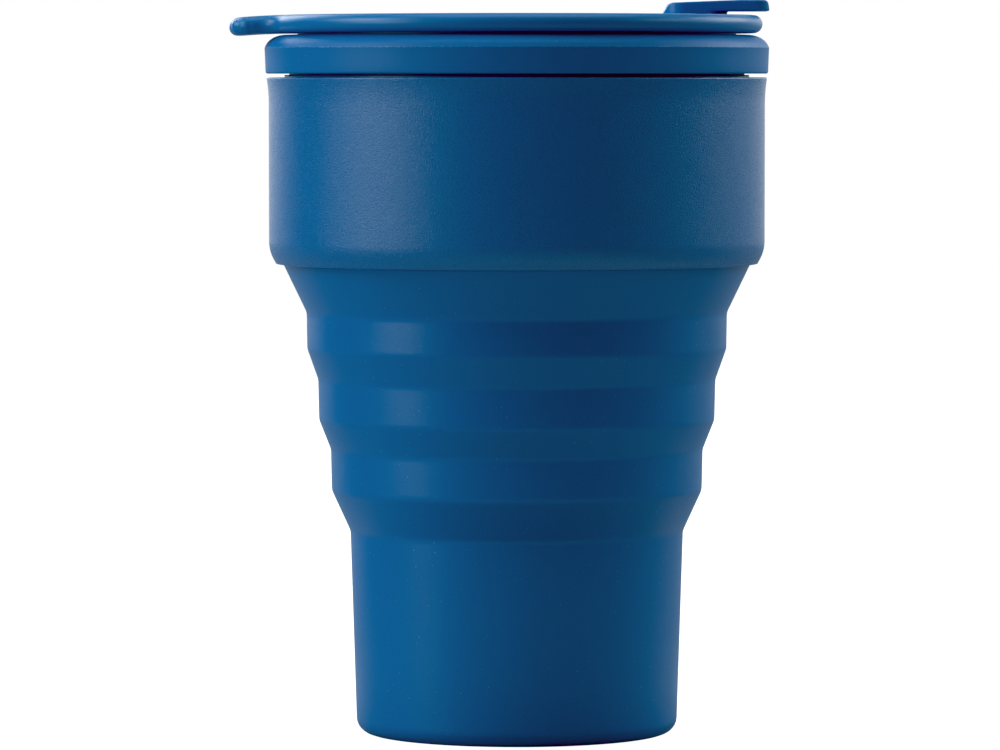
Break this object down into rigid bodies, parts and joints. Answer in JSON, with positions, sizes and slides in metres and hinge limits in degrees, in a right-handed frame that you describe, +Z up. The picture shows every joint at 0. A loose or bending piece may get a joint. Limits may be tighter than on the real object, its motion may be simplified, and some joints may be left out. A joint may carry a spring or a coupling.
{
  "type": "collapsible travel cup",
  "caption": "Folding silicone travel cup with a rigid grip collar, a press-on lid with a thumb tab, and a hinged sip stopper; it folds down until its base sits inside the collar.",
  "frame": {"origin": "centre of the flat underside of the cup's base, where it rests on a table", "axes": "+Z up the cup's axis to the lid; the lid's thumb tab points along -X and its sip stopper along +X"},
  "size_m": [0.0963, 0.09, 0.131],
  "materials": {
    "body_silicone": "satin moulded silicone, denim blue",
    "collar_plastic": "fine sand-textured polypropylene, denim blue",
    "lid_plastic": "satin polypropylene, denim blue",
    "seal_silicone": "satin moulded silicone, denim blue",
    "stopper_silicone": "satin moulded silicone, denim blue"
  },
  "bodies": {
    "base": {"base_cup": "body_silicone", "lower_fold": "body_silicone"},
    "middle": {"middle_band": "body_silicone", "upper_fold": "body_silicone"},
    "mouth": {"mouth_liner": "body_silicone", "collar": "collar_plastic"},
    "lid": {"lid_plate": "lid_plastic", "lid_seal_ring": "seal_silicone", "stopper_anchor": "stopper_silicone", "stopper_strap": "stopper_silicone"},
    "stopper": {"sip_stopper": "stopper_silicone"}
  },
  "joints": [
    {"name": "lower_fold_close", "type": "slide", "parent": "base", "child": "middle", "axis": [0, 0, -1], "range_m": [0, 0.0398], "deforming": ["lower_fold"]},
    {"name": "upper_fold_close", "type": "slide", "parent": "middle", "child": "mouth", "axis": [0, 0, -1], "range_m": [0, 0.0412], "deforming": ["upper_fold"]},
    {"name": "lid_lift", "type": "slide", "parent": "mouth", "child": "lid", "axis": [0, 0, 1], "range_m": [0, 0.05]},
    {"name": "stopper_swing", "type": "hinge", "parent": "lid", "child": "stopper", "pos_m": [0.0218, 0, 0.1276], "axis": [0, -1, 0], "range_deg": [0, 135], "deforming": ["stopper_strap"]}
  ]
}
